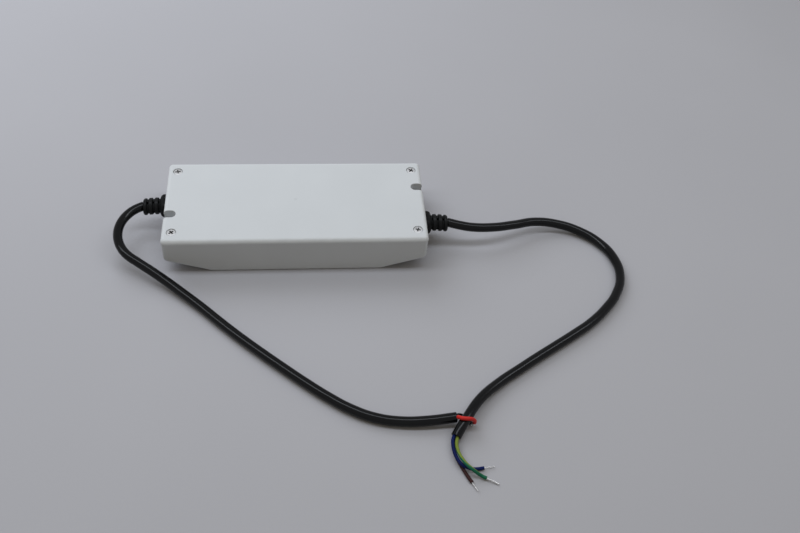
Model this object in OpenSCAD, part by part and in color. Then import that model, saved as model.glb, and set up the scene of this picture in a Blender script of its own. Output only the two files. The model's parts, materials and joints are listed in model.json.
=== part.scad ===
// LED driver: a sealed supply in a moulded case, with its circuit inside and a cable at each end.
// X runs from the output end to the input end, Y to the back, Z up. The underside is at Z 0.

/* [Case] */
// Length of the cover
case_len = 185; // [180:1:200]
// Width of the cover
case_wid = 81; // [73:1:96]
// Height from the underside to the top of the cover
case_hgt = 30; // [30:0.5:36]
// Thickness of the walls and the floor
wall = 2.2; // [1.8:0.1:2.5]
// Thickness of the cover
cover_t = 4; // [3.6:0.1:4.4]
// Step from the cover's edge back to the side of the body
cover_step = 0.3; // [0.1:0.1:0.8]
// Radius of the upright corners
corner_r = 3; // [2.6:0.2:5]
// Radius of the cover's top edge
edge_r = 3; // [1:0.5:3.5]
// Length of the flat part of the underside
flat_len = 119; // [112:1:122]
// Height that the sloped underside gains at each end
end_rise = 11; // [9:0.5:11]
// Length of the locating ribs below the cover
rib_len = 110; // [60:5:130]
// Height of the locating ribs
rib_h = 1.5; // [1:0.1:2]
// Thickness of the locating ribs
rib_t = 1.2; // [0.8:0.1:1.6]

/* [Mounting slots] */
// Width of the open slot at each end
slot_w = 6.8; // [5:0.2:7]
// Depth of the slot from the cover's edge
slot_depth = 8.8; // [7:0.2:10]
// Distance of the slot from the case's middle line
slot_y = 13; // [12.5:0.5:16]

/* [Screws] */
// Diameter of the screw thread
screw_d = 3; // [2.5:0.5:3]
// Diameter of the cover screw's head
head_d = 6; // [5.4:0.1:6.2]
// Height of a screw head
head_h = 1.9; // [1.6:0.1:2]
// Length of the cover screw below its head
cover_screw_len = 12; // [9:0.5:13]
// Diameter of the counterbore round the head
counterbore_d = 6.9; // [6.7:0.1:7.4]
// Depth of the counterbore
counterbore_depth = 2; // [2:0.1:2.4]
// Distance from the cover's end to the screw
screw_inset_x = 7.1; // [6.5:0.1:9]
// Distance from the cover's side to the screw
screw_inset_y = 9.4; // [8:0.2:11]
// Diameter of the post under a cover screw
post_d = 8; // [7:0.2:9]

/* [Glands] */
// Width of the outer flange
flange_w = 16; // [15:0.5:17]
// Height of the outer flange
flange_h = 12.8; // [12.4:0.2:13.4]
// Thickness of the domed flange
flange_t = 5; // [4:0.2:6]
// Height of the flange above the end wall's lower edge
flange_lift = 0.4; // [0.2:0.1:1]
// Diameter of the ribs on the boot
boot_rib_d = 12.2; // [11.6:0.2:12.6]
// Diameter of the boot between the ribs
boot_d = 10.2; // [9.6:0.2:10.8]
// Length of one rib
boot_rib_t = 2.8; // [2.2:0.1:3]
// Distance from one rib to the next
boot_pitch = 4.1; // [3.8:0.1:4.6]
// Diameter of the neck through the wall
neck_d = 9.8; // [9:0.2:10]
// Diameter of the collar inside the wall
collar_d = 12.4; // [11.6:0.2:13]
// Thickness of the collar
collar_t = 2; // [1.5:0.1:2.5]
// Distance of the input gland in front of the middle line
input_gland_y = 12; // [11:0.5:13]
// Distance of the output gland behind the middle line
output_gland_y = 8; // [6:0.5:9]

/* [Cables] */
// Diameter of the cable sheath
cable_d = 6.6; // [6:0.1:6.8]
// Diameter of an input core
input_core_d = 2.2; // [1.8:0.1:2.3]
// Diameter of an output core
output_core_d = 2.5; // [2:0.1:2.6]
// Diameter of the bare strands
strand_d = 1.1; // [0.8:0.1:1.3]

/* [Circuit board] */
// Length of the board
board_len = 130; // [117:1:140]
// Gap between the board's side and the wall
board_side_gap = 3; // [2:0.5:4]
// Thickness of the board
board_t = 1.6; // [1.2:0.2:1.6]
// Height of the posts that carry the board
board_post_h = 4; // [3.6:0.2:4.4]
// Diameter of the posts that carry the board
board_post_d = 6.4; // [5.6:0.2:7]
// Distance from the board's end to its screws
board_inset_x = 12; // [11:0.5:13]
// Distance from the board's side to its screws
board_inset_y = 6; // [5:0.5:6.5]
// Diameter of a board screw's head
board_head_d = 5.5; // [5:0.1:5.6]
// Length of a board screw below its head
board_screw_len = 5; // [4:0.2:5.4]

/* [Mains filter] */
// Diameter of the fuse
fuse_d = 5.2; // [4.6:0.2:6]
// Length of the fuse
fuse_len = 18; // [14:0.5:19]
// Diameter of the varistor
varistor_d = 11; // [9:0.5:12]
// Diameter of the inrush thermistor
thermistor_d = 10; // [8:0.5:11]
// Thickness of the varistor and the thermistor
disc_t = 4.5; // [3.5:0.1:5]
// Thickness of the mains capacitor
x_cap_t = 8.5; // [6:0.5:10]
// Width of the mains capacitor
x_cap_w = 18; // [14:0.5:20]
// Height of the mains capacitor
x_cap_h = 14; // [10:0.5:16]
// Outer diameter of the filter choke's core
choke_d = 18; // [16:0.5:18.5]
// Inner diameter of the filter choke's core
choke_bore = 10; // [9:0.5:10.5]
// Height of the filter choke's core
choke_h = 8; // [6:0.5:10]
// Thickness of the filter choke's windings
choke_wire = 1.5; // [1:0.1:1.7]
// Diameter of the small safety capacitors
y_cap_d = 8; // [6:0.5:8.5]
// Thickness of the small safety capacitors
y_cap_t = 4; // [3:0.1:4.5]

/* [Power stage] */
// Thickness of the bridge rectifier's body
bridge_t = 4.5; // [3.5:0.5:5.5]
// Width of the bridge rectifier's body
bridge_w = 19; // [15:0.5:20]
// Height of the bridge rectifier's body
bridge_h = 12; // [10:0.5:13]
// Thickness of the film capacitor
film_cap_t = 7; // [5:0.5:9]
// Width of the film capacitor
film_cap_w = 17.5; // [14:0.5:20]
// Height of the film capacitor
film_cap_h = 12.5; // [10:0.5:15]
// Length of the boost inductor's core
pfc_len = 23; // [21:0.5:24]
// Length of the transformer's core
transformer_len = 28; // [26:0.5:29]
// Width of both ferrite cores
ferrite_wid = 20; // [18:0.5:21]
// Height of both ferrite cores
ferrite_h = 16; // [14:0.5:16.5]
// Thickness of a ferrite core's top and bottom plates
ferrite_plate = 3.4; // [3:0.1:3.8]
// Thickness of a ferrite core's outer legs
ferrite_leg = 3.6; // [3:0.1:4]
// Diameter of a ferrite core's middle leg
ferrite_post_d = 7; // [6:0.2:7.4]
// Thickness of the bobbins
bobbin_t = 0.9; // [0.7:0.1:1]
// Diameter of the bulk capacitor
bulk_d = 16; // [14:0.5:17]
// Length of the bulk capacitor
bulk_len = 31; // [26:0.5:32]
// Thickness of the heatsinks
sink_t = 3; // [2:0.2:3.4]
// Height of the heatsinks
sink_h = 17; // [16:0.2:17.4]
// Length of the primary heatsink
primary_sink_len = 36; // [32:1:38]
// Length of the secondary heatsink
secondary_sink_len = 24; // [22:1:26]
// Width of a power device's body
device_w = 10; // [9:0.1:10.5]
// Thickness of a power device's body
device_t = 4.4; // [4:0.1:4.8]
// Height of a power device's body
device_h = 9; // [8:0.1:9.2]
// Thickness of a power device's metal tab
tab_t = 1.3; // [1:0.1:1.5]
// Height of a power device's metal tab
tab_h = 15; // [14.5:0.1:15]
// Length of a power device's legs below its body
device_leg = 2.4; // [2:0.1:2.6]
// Diameter of a clamp screw's head
clamp_head_d = 5.2; // [4.8:0.1:5.2]

/* [Output and control] */
// Diameter of an output capacitor
output_cap_d = 10; // [8:0.5:10.5]
// Height of an output capacitor
output_cap_h = 16; // [12:0.5:17]
// Diameter of the output choke
output_choke_d = 11; // [9:0.5:11.5]
// Height of the output choke
output_choke_h = 12; // [9:0.5:14]
// Length of the optocoupler between its legs
opto_len = 4.6; // [4.2:0.1:5]
// Width of the optocoupler
opto_w = 6.5; // [5:0.1:7]
// Height of the optocoupler
opto_h = 3.4; // [3:0.1:4]
// Length of a control chip between its legs
chip_len = 5; // [4:0.1:6]
// Width of a control chip
chip_w = 4; // [3.5:0.1:5]
// Height of a control chip
chip_h = 1.5; // [1.2:0.1:2]
// Diameter of a sense resistor
resistor_d = 3.6; // [2.5:0.1:4]
// Length of a sense resistor
resistor_len = 8; // [6:0.5:9]

/* [Hidden] */
$fn = 48;
eps = 0.01;

// Clearances: a running one, a fit inside a hole, and the bite of a screw in its post
play = 0.2;
fit = 0.1;
thread_fit = 0.05;

// Shell
body_len = case_len - 2 * cover_step;
body_wid = case_wid - 2 * cover_step;
end_x = body_len / 2;
rim_z = case_hgt - cover_t;
inner_len = body_len - 2 * wall;
inner_wid = body_wid - 2 * wall;
inner_corner_r = corner_r - wall;
slope = atan(end_rise / (end_x - flat_len / 2));
inner_flat = flat_len / 2 - wall * tan(slope / 2);
past = 5;
corner_steps = 6;
edge_steps = 5;
rib_y = inner_wid / 2 - play - rib_t / 2;
screw_x = case_len / 2 - screw_inset_x;
screw_y = case_wid / 2 - screw_inset_y;
slot_end_x = case_len / 2 - slot_depth;
head_seat_z = case_hgt - counterbore_depth;
shank_hole_d = screw_d + 0.4;
pilot_d = screw_d + 2 * thread_fit;
pilot_spare = 1;
post_web = post_d - 2;
recess_len = 3.4;
recess_wid = 0.9;
recess_depth = 1;

// Glands
gland_z = end_rise + flange_lift + flange_h / 2;
flange_corner = 4.5;
// Dome of the flange: each outline's distance from the wall, and how far it is drawn in
dome = [[0, 0], [2.4, 0], [flange_t - 1.4, 0.35], [flange_t - 0.5, 1.2], [flange_t, 2.4]];
first_rib = flange_t + 1;
rib_count = 3;
boot_len = first_rib + (rib_count - 1) * boot_pitch + boot_rib_t;
collar_x = end_x - wall - collar_t;
collar_drop = gland_z - (wall + (end_x - wall - inner_flat) * tan(slope)) - play;

// Board
board_wid = inner_wid - 2 * board_side_gap;
board_z = wall + board_post_h;
board_top = board_z + board_t;
board_screw_x = board_len / 2 - board_inset_x;
board_screw_y = board_wid / 2 - board_inset_y;
in_edge = board_len / 2;
out_edge = -board_len / 2;
pad_inset = 3;
lead_gap = 3.2;
lead_reach = 4;

// Gaps between the parts, and from the board's edges to the parts
part_gap = 1.5;
edge_gap = 3;

// Distances of the inner parts from the board's middle line
fuse_y = 13;
thermistor_y = 4;
y_cap_back = 3.5;
y_cap_front = 5.5;
secondary_sink_y = 13;
transformer_y = 10;
output_caps_y = 14;
output_choke_y = 10;
converter_chip_y = 22;
opto_y = 7;

// Legs of the parts on the board
leg_d = 0.8;
thick_leg_d = 1;
leg_pitch = 2.5;
leg_reach = 1.6;
disc_lift = 1.5;
tab_hole_z = 12;
sink_fin_t = 1.5;
sink_fin_d = 2.5;
chip_lift = 0.3;
chip_leg = 0.8;
drum_rim_t = 2;
drum_groove = 1;

// How far the round and the legged parts reach from their middles
choke_reach = choke_d / 2 + choke_wire + fit;
chip_reach = chip_len / 2 + chip_leg;
opto_reach = opto_len / 2 + chip_leg;
axial_reach = leg_reach + thick_leg_d / 2;
cap_pitch = output_cap_d + part_gap;

// Places on the board: each row starts at an edge, and each part stands one gap from the last
row_y = board_wid / 2 - edge_gap;
clear_y = board_screw_y - board_head_d / 2 - part_gap;
fuse_at = [in_edge - edge_gap - fuse_d / 2, fuse_y];
varistor_at = [fuse_at[0] - fuse_d / 2 - part_gap - disc_t / 2, clear_y - varistor_d / 2];
thermistor_at = [varistor_at[0], thermistor_y];
bridge_at = [varistor_at[0] - disc_t / 2 - part_gap - bridge_t / 2, row_y - bridge_w / 2];
film_cap_at = [bridge_at[0] - bridge_t / 2 - part_gap - film_cap_t / 2, row_y - film_cap_w / 2];
pfc_at = [film_cap_at[0] - film_cap_t / 2 - part_gap - pfc_len / 2, row_y - ferrite_wid / 2];
y_caps_x = thermistor_at[0] - disc_t / 2 - part_gap - y_cap_t / 2;
y_caps_at = [[y_caps_x, -y_cap_front], [y_caps_x, y_cap_back]];
primary_sink_at = [y_caps_x - y_cap_t / 2 - part_gap - primary_sink_len / 2, 0];
x_cap_at = [in_edge - board_inset_x - board_head_d / 2 - part_gap - x_cap_t / 2, x_cap_w / 2 - row_y];
choke_at = [x_cap_at[0] - x_cap_t / 2 - part_gap - choke_reach, choke_reach - row_y];
bulk_at = [choke_at[0] - choke_reach - part_gap - axial_reach - bulk_len / 2, bulk_d / 2 - row_y];
pfc_chip_y = primary_sink_at[1] - device_t - part_gap - chip_w / 2;
pfc_chip_at = [choke_at[0] - choke_reach - part_gap - chip_reach, pfc_chip_y];
resistor_x = out_edge + pad_inset + input_core_d + part_gap + resistor_d / 2;
resistor_y = clear_y - resistor_len / 2 - axial_reach;
resistors_at = [[resistor_x, resistor_y], [resistor_x + resistor_d + part_gap, resistor_y]];
secondary_sink_x = resistors_at[1][0] + resistor_d / 2 + part_gap + device_t;
secondary_sink_at = [secondary_sink_x, secondary_sink_y];
transformer_x = secondary_sink_x + sink_t + sink_fin_d + part_gap + transformer_len / 2;
transformer_at = [transformer_x, transformer_y];
first_cap_at = [out_edge + edge_gap + output_cap_d / 2, -output_caps_y];
output_caps_at = [for (step = [[0, 0], [1, 0.5], [1, -0.5]]) first_cap_at + cap_pitch * step];
output_choke_x = output_caps_at[1][0] + cap_pitch / 2 + part_gap + output_choke_d / 2;
output_choke_at = [output_choke_x, -output_choke_y];
converter_chip_at = [output_caps_at[2][0] + cap_pitch / 2 + part_gap + chip_reach, -converter_chip_y];
opto_at = [output_choke_x + output_choke_d / 2 + part_gap + opto_reach, -opto_y];

// Cable routes: the first point is on the gland's boot, the others lie along the cable
input_start = [end_x + boot_len, -input_gland_y, gland_z];
output_start = [-end_x - boot_len, output_gland_y, gland_z];
input_route = concat([input_start], [
    [118, -14.8, 17.4], [127, -16.2, 16.6], [143.5, -14.4, 14.4], [160, -9.4, 11.7], [177, -3.7, 8.9],
    [194, -3.6, 6.3], [210, -9.2, 4.4], [223.5, -21, 3.6], [231.3, -37.3, 3.4], [231.8, -55, 3.4],
    [225, -71.5, 3.4], [214.3, -85, 3.4], [201.5, -97, 3.4], [187.4, -107, 3.4], [173, -116.5, 3.4],
    [159.2, -125.5, 3.4], [145.2, -135, 3.4], [130.8, -145.2, 3.9], [115.8, -158.8, 5.2],
    [105.2, -173.5, 6.1], [101, -179.5, 5.2], [97.4, -184.9, 3.5]
]);
// The output cable turns on one arc after its gland, and sinks as it turns
bend_at = [-99, -16];
bend_r = 26;
bend_from = 114;
bend_step = 14;
bend_count = 8;
bend_drop = 6;
output_bend = [for (k = [1 : bend_count]) let (a = bend_from + bend_step * k) [
    bend_at[0] + bend_r * cos(a), bend_at[1] + bend_r * sin(a),
    gland_z - bend_drop * pow(k / bend_count, 1.6)
]];
output_route = concat([output_start], output_bend, [
    [-108.5, -41, 10], [-99.5, -47, 7.9], [-87, -56.5, 5.6], [-76, -66, 4.4], [-64, -77, 3.6],
    [-51, -90.2, 3.4], [-37.5, -103.5, 3.4], [-24, -116, 3.4], [-10, -128.5, 3.4], [5, -141.5, 3.4],
    [19, -152.8, 3.4], [33, -162.5, 3.4], [48, -169.6, 3.4], [64, -173, 3.5], [81, -173.6, 4.3],
    [98.5, -172.3, 5.2]
]);

// Core routes: each starts in the end face of its sheath, at a place across and above the middle
brown_route = concat([in_face(input_route, 0.2, -1.3)], [
    [95.9, -188, 1.6], [95.3, -192, 1.2], [95.6, -196, 1.2], [96.6, -200, 1.2], [97.9, -203.7, 1.2],
    [99.3, -207, 1.2], [101.1, -211.3, 1.2], [103.6, -216.2, 1.2]
]);
blue_route = concat([in_face(input_route, 1.05, 0.85)], [
    [94.9, -187.7, 4.2], [94.5, -191.4, 4], [94.7, -195.7, 3.9], [95.5, -199.4, 3.8], [96.9, -202.8, 3.7],
    [98.7, -205.3, 3.6], [101.4, -207, 3.2], [104.5, -207.7, 2.4], [108.1, -207.4, 1.6], [112, -206.8, 1.4]
]);
earth_route = concat([in_face(input_route, -1.2, 0.45)], [
    [96.9, -190.6, 4], [97, -194.8, 4.2], [97.8, -199, 4.7], [99.2, -203, 5.4], [101.2, -206.7, 5.9],
    [103.9, -209.5, 5.6], [107, -211.4, 3.9], [109.7, -212.4, 2], [112.7, -214, 1.6]
]);
red_route = concat([in_face(output_route, 0.7, 1.25)], [
    [99.8, -174.5, 8.5], [101, -176, 9.9], [102.7, -176.8, 10.5], [105, -177, 10.4], [107.4, -176.7, 9.4],
    [109.2, -176.3, 7.4], [109.9, -176, 5.5], [109.9, -175.7, 3.8]
]);
black_route = concat([in_face(output_route, -1.3, -0.7)], [
    [100.3, -169.4, 3.3], [103, -168.9, 1.8], [105.7, -170.5, 1.3], [107.5, -172.6, 1.3],
    [108.3, -175.3, 1.3]
]);
// Bare length of each core
brown_bare = 6.6;
blue_bare = 7;
earth_bare = 8;
red_bare = 1.2;
black_bare = 1;
cable_sides = 10;
core_sides = 8;

// Colours
case_grey = [0.78, 0.79, 0.8];
steel = [0.72, 0.73, 0.74];
black_rubber = [0.06, 0.06, 0.07];
sheath_black = [0.05, 0.05, 0.06];
brown = [0.24, 0.13, 0.12];
blue = [0.08, 0.12, 0.42];
earth_green = [0.1, 0.45, 0.28];
red = [0.8, 0.16, 0.13];
tin = [0.8, 0.8, 0.8];
board_green = [0.1, 0.35, 0.2];
copper = [0.72, 0.42, 0.2];
ferrite = [0.2, 0.2, 0.21];
tape_yellow = [0.85, 0.7, 0.2];
alu = [0.75, 0.76, 0.78];
part_black = [0.12, 0.12, 0.13];

// Directions and points

function unit(v) = v / norm(v);
function end_dir(route) = unit(route[len(route) - 1] - route[len(route) - 2]);
function across(dir, ref) = unit(cross(dir, ref));
function in_face(route, side, up) =
    let (dir = end_dir(route), s = across(dir, [0, 0, 1]))
    route[len(route) - 1] + eps * dir + side * s + up * cross(s, dir);
function heading(route, i) = unit(unit(route[i + 1] - route[i]) + unit(route[i] - route[i - 1]));
function ring(at, dir, d, sides, ref) =
    let (s = across(dir, ref), u = cross(s, dir))
    [for (k = [0 : sides - 1]) at + d / 2 * (s * cos(360 * k / sides) + u * sin(360 * k / sides))];
function rounded_outline(l, w, r) = [
    for (k = [0 : 3], a = [0 : corner_steps])
        let (turn = 90 * (k + a / corner_steps), sx = k == 0 || k == 3 ? 1 : -1, sy = k < 2 ? 1 : -1)
        [sx * (l / 2 - r) + r * cos(turn), sy * (w / 2 - r) + r * sin(turn)]
];

// Shapes that repeat

module rounded_plate(l, w, r, h) {
    linear_extrude(h) polygon(rounded_outline(l, w, r));
}

module above_underside(flat, base) {
    far = end_x + past;
    far_z = base + (far - flat) * tan(slope);
    side = [[flat, base], [far, far_z], [far, case_hgt], [-far, case_hgt], [-far, far_z], [-flat, base]];
    rotate([90, 0, 0]) linear_extrude(case_wid + past, center = true) polygon(side);
}

module at_both_ends() {
    children();
    rotate(180) children();
}

module at_corners(x, y) {
    for (sx = [-1, 1], sy = [-1, 1]) translate([sx * x, sy * y, 0]) children();
}

module slot_cut(w, inner_x) {
    mid_x = inner_x + w / 2;
    h = case_hgt + 2 * past;
    at_both_ends() translate([mid_x, slot_y, -past]) {
        cylinder(d = w, h = h);
        translate([0, -w / 2, 0]) cube([end_x + past - mid_x, w, h]);
    }
}

module at_input_gland() {
    translate([end_x, -input_gland_y, gland_z]) children();
}

module at_output_gland() {
    translate([-end_x, output_gland_y, gland_z]) rotate(180) children();
}

module pan_screw(d_head, len) {
    difference() {
        union() {
            cylinder(d = d_head, h = head_h);
            translate([0, 0, -len]) cylinder(d = screw_d, h = len + head_h / 2);
        }
        for (turn = [0, 90]) {
            rotate(turn) translate([-recess_len / 2, -recess_wid / 2, head_h - recess_depth]) {
                cube([recess_len, recess_wid, recess_depth + 1]);
            }
        }
    }
}

module along_x(d, len) {
    rotate([0, 90, 0]) cylinder(d = d, h = len);
}

module gland() {
    hull() {
        for (step = dome) {
            translate([step[0] - (step[0] > 0 ? eps : 0), 0, 0]) rotate([90, 0, 90]) {
                rounded_plate(flange_w - 2 * step[1], flange_h - 2 * step[1], flange_corner - step[1], eps);
            }
        }
    }
    translate([flange_t / 2, 0, 0]) along_x(boot_d, boot_len - flange_t / 2);
    for (k = [0 : rib_count - 1]) {
        translate([first_rib + k * boot_pitch, 0, 0]) along_x(boot_rib_d, boot_rib_t);
    }
    translate([-wall - collar_t / 2, 0, 0]) along_x(neck_d, wall + collar_t / 2 + flange_t / 2);
    intersection() {
        translate([-wall - collar_t, 0, 0]) along_x(collar_d, collar_t);
        translate([-wall - collar_t - 1, -collar_d, -collar_drop]) {
            cube([collar_t + 2, 2 * collar_d, 2 * collar_d]);
        }
    }
}

module tube(route, d, sides, first_dir, ref = [0, 0, 1]) {
    last = len(route) - 1;
    points = [
        for (i = [0 : last])
            let (dir = i == 0 ? first_dir : i == last ? end_dir(route) : heading(route, i))
            each ring(route[i], dir, d, sides, ref)
    ];
    walls = [
        for (i = [0 : last - 1], k = [0 : sides - 1])
            let (a = i * sides + k, b = i * sides + (k + 1) % sides)
            each [[a, b, b + sides], [a, b + sides, a + sides]]
    ];
    first_cap = [for (k = [0 : sides - 1]) sides - 1 - k];
    last_cap = [for (k = [0 : sides - 1]) last * sides + k];
    polyhedron(points, concat(walls, [first_cap, last_cap]));
}

module rod(from, to, d) {
    span = to - from;
    tilt = acos(span[2] / norm(span));
    translate(from) rotate([0, tilt, atan2(span[1], span[0])]) cylinder(d = d, h = norm(span));
}

module on_board(at) {
    translate([at[0], at[1], board_top]) children();
}

module block(size) {
    translate([-size[0] / 2, -size[1] / 2, 0]) cube(size);
}

module disc_part(d, t) {
    translate([-t / 2, 0, disc_lift + d / 2]) along_x(d, t);
    for (side = [-1, 1]) translate([0, side * d / 4, 0]) cylinder(d = leg_d, h = disc_lift + d / 2);
}

module axial_part(d, len) {
    axis_z = d / 2 + play;
    translate([0, 0, axis_z]) rotate(90) {
        translate([-len / 2, 0, 0]) along_x(d, len);
        translate([-len / 2 - leg_reach, 0, 0]) along_x(leg_d, len + 2 * leg_reach);
    }
    for (side = [-1, 1]) {
        translate([0, side * (len / 2 + leg_reach), 0]) cylinder(d = thick_leg_d, h = axis_z + leg_d);
    }
}

module wound_core(len) {
    difference() {
        block([len, ferrite_wid, ferrite_h]);
        translate([0, 0, ferrite_plate]) {
            difference() {
                block([len - 2 * ferrite_leg, ferrite_wid + 2, ferrite_h - 2 * ferrite_plate]);
                translate([0, 0, -1]) cylinder(d = ferrite_post_d, h = ferrite_h);
            }
        }
    }
}

module wound_bobbin(len) {
    inner_d = ferrite_post_d + 2 * fit;
    flange_d = len - 2 * ferrite_leg - 2 * play;
    h = ferrite_h - 2 * ferrite_plate - fit;
    translate([0, 0, ferrite_plate]) {
        difference() {
            union() {
                cylinder(d = inner_d + 2 * bobbin_t, h = h);
                cylinder(d = flange_d, h = bobbin_t);
                translate([0, 0, h - bobbin_t]) cylinder(d = flange_d, h = bobbin_t);
            }
            translate([0, 0, -1]) cylinder(d = inner_d, h = h + 2);
        }
    }
}

module wound_winding(len) {
    inner_d = ferrite_post_d + 4 * fit + 2 * bobbin_t;
    h = ferrite_h - 2 * ferrite_plate - 2 * fit - 2 * bobbin_t;
    translate([0, 0, ferrite_plate + bobbin_t]) {
        difference() {
            cylinder(d = len - 2 * ferrite_leg - 4 * play, h = h);
            translate([0, 0, -1]) cylinder(d = inner_d, h = h + 2);
        }
    }
}

module power_device() {
    translate([-device_w / 2, -device_t, device_leg]) cube([device_w, device_t, device_h]);
    difference() {
        translate([-device_w / 2, -tab_t, device_leg]) cube([device_w, tab_t, tab_h]);
        translate([0, 1, device_leg + tab_hole_z]) rotate([90, 0, 0]) {
            cylinder(d = shank_hole_d, h = tab_t + 2);
        }
    }
    for (k = [-1 : 1]) {
        translate([k * leg_pitch, -device_t / 2, 0]) cylinder(d = leg_d, h = device_leg + 1);
    }
}

module heatsink(len) {
    difference() {
        union() {
            translate([-len / 2, 0, 0]) cube([len, sink_t, sink_h]);
            for (k = [-1, 0, 1]) {
                translate([k * (len / 2 - sink_fin_t) - sink_fin_t / 2, sink_t - eps, 0]) {
                    cube([sink_fin_t, sink_fin_d, device_leg + tab_hole_z - head_h]);
                }
            }
        }
        translate([0, -1, device_leg + tab_hole_z]) rotate([-90, 0, 0]) {
            cylinder(d = pilot_d, h = sink_t + 2);
        }
    }
}

module clamp_screw() {
    translate([0, -tab_t, device_leg + tab_hole_z]) rotate([90, 0, 0]) {
        pan_screw(clamp_head_d, tab_t + sink_t);
    }
}

module at_primary_sink() {
    on_board(primary_sink_at) children();
}

module at_secondary_sink() {
    on_board(secondary_sink_at) rotate(-90) children();
}

module legged_box(size, legs) {
    translate([0, 0, chip_lift]) block(size);
    for (side = [-1, 1], k = [0 : legs - 1]) {
        translate([side * size[0] / 2, (k - (legs - 1) / 2) * size[1] / legs, 0]) {
            block([2 * chip_leg, leg_d / 2, chip_lift + size[2] / 2]);
        }
    }
}

// Case

module case_body() {
    color(case_grey) difference() {
        intersection() {
            rounded_plate(body_len, body_wid, corner_r, rim_z);
            above_underside(flat_len / 2, 0);
        }
        difference() {
            intersection() {
                rounded_plate(inner_len, inner_wid, inner_corner_r, case_hgt);
                above_underside(inner_flat, wall);
            }
            at_corners(screw_x, screw_y) cylinder(d = post_d, h = case_hgt);
            for (sx = [-1, 1], sy = [-1, 1]) {
                translate([sx * (screw_x + end_x) / 2, sy * screw_y, 0]) {
                    block([end_x - screw_x, post_web, case_hgt]);
                }
            }
            slot_cut(slot_w + 2 * wall, slot_end_x - wall);
            at_corners(board_screw_x, board_screw_y) cylinder(d = board_post_d, h = board_z);
        }
        slot_cut(slot_w, slot_end_x);
        at_corners(screw_x, screw_y) {
            translate([0, 0, head_seat_z - cover_screw_len - pilot_spare]) {
                cylinder(d = pilot_d, h = case_hgt);
            }
        }
        at_corners(board_screw_x, board_screw_y) {
            translate([0, 0, board_top - board_screw_len - play]) cylinder(d = pilot_d, h = board_top);
        }
        at_input_gland() translate([-wall - 1, 0, 0]) along_x(neck_d + 2 * fit, wall + 2);
        at_output_gland() translate([-wall - 1, 0, 0]) along_x(neck_d + 2 * fit, wall + 2);
    }
}

module case_cover() {
    color(case_grey) difference() {
        union() {
            hull() {
                translate([0, 0, rim_z]) rounded_plate(case_len, case_wid, corner_r, eps);
                for (k = [0 : edge_steps]) {
                    turn = 90 * k / edge_steps;
                    inset = edge_r * (1 - cos(turn));
                    r = max(corner_r - inset, eps);
                    translate([0, 0, case_hgt - edge_r * (1 - sin(turn)) - eps]) {
                        rounded_plate(case_len - 2 * inset, case_wid - 2 * inset, r, eps);
                    }
                }
            }
            for (side = [-1, 1]) {
                translate([0, side * rib_y, rim_z - rib_h]) block([rib_len, rib_t, rib_h + 1]);
            }
        }
        slot_cut(slot_w, slot_end_x);
        at_corners(screw_x, screw_y) {
            translate([0, 0, rim_z - 1]) cylinder(d = shank_hole_d, h = cover_t + 2);
            translate([0, 0, head_seat_z]) cylinder(d = counterbore_d, h = counterbore_depth + 1);
        }
    }
}

module cover_screws() {
    color(steel) at_corners(screw_x, screw_y) {
        translate([0, 0, head_seat_z]) pan_screw(head_d, cover_screw_len);
    }
}

// Glands, cables and cores

module input_gland() {
    color(black_rubber) at_input_gland() gland();
}

module output_gland() {
    color(black_rubber) at_output_gland() gland();
}

module input_cable() {
    color(sheath_black) tube(input_route, cable_d, cable_sides, [1, 0, 0]);
}

module output_cable() {
    color(sheath_black) tube(output_route, cable_d, cable_sides, [-1, 0, 0]);
}

module core_brown() {
    color(brown) tube(brown_route, input_core_d, core_sides, end_dir(input_route));
}

module core_blue() {
    color(blue) tube(blue_route, input_core_d, core_sides, end_dir(input_route));
}

module core_earth() {
    color(earth_green) tube(earth_route, input_core_d, core_sides, end_dir(input_route));
}

module core_red() {
    color(red) tube(red_route, output_core_d, core_sides, end_dir(output_route), [0, 1, 0]);
}

module core_black() {
    color(sheath_black) tube(black_route, output_core_d, core_sides, end_dir(output_route));
}

module strand(route, bare) {
    end = route[len(route) - 1] + eps * end_dir(route);
    rod(end, end + bare * end_dir(route), strand_d);
}

module input_strands() {
    color(tin) {
        strand(brown_route, brown_bare);
        strand(blue_route, blue_bare);
        strand(earth_route, earth_bare);
    }
}

module output_strands() {
    color(tin) {
        strand(red_route, red_bare);
        strand(black_route, black_bare);
    }
}

// Board and leads

module circuit_board() {
    color(board_green) difference() {
        translate([0, 0, board_z]) block([board_len, board_wid, board_t]);
        at_corners(board_screw_x, board_screw_y) {
            translate([0, 0, board_z - 1]) cylinder(d = shank_hole_d, h = board_t + 2);
        }
    }
}

module board_screws() {
    color(steel) at_corners(board_screw_x, board_screw_y) {
        translate([0, 0, board_top]) pan_screw(board_head_d, board_screw_len);
    }
}

module lead(from, to) {
    over = unit(to - from) * lead_reach;
    intersection() {
        rod(from - over, to + over, input_core_d);
        translate([to[0] - lead_reach, -case_wid / 2, board_top]) {
            cube([from[0] - to[0] + lead_reach, case_wid, case_hgt]);
        }
    }
}

module input_leads() {
    color(brown) for (k = [-1 : 1]) {
        y = -input_gland_y + k * lead_gap;
        lead([collar_x, y, gland_z], [in_edge - pad_inset, y, board_top]);
    }
}

module output_leads() {
    color(red) mirror([1, 0, 0]) for (k = [-0.5, 0.5]) {
        y = output_gland_y + k * lead_gap;
        lead([collar_x, y, gland_z], [in_edge - pad_inset, y, board_top]);
    }
}

// Mains filter

module fuse() {
    color([0.85, 0.83, 0.76]) on_board(fuse_at) axial_part(fuse_d, fuse_len);
}

module varistor() {
    color([0.1, 0.25, 0.55]) on_board(varistor_at) disc_part(varistor_d, disc_t);
}

module inrush_thermistor() {
    color([0.1, 0.3, 0.2]) on_board(thermistor_at) disc_part(thermistor_d, disc_t);
}

module x_capacitor() {
    color([0.75, 0.7, 0.3]) on_board(x_cap_at) block([x_cap_t, x_cap_w, x_cap_h]);
}

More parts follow.
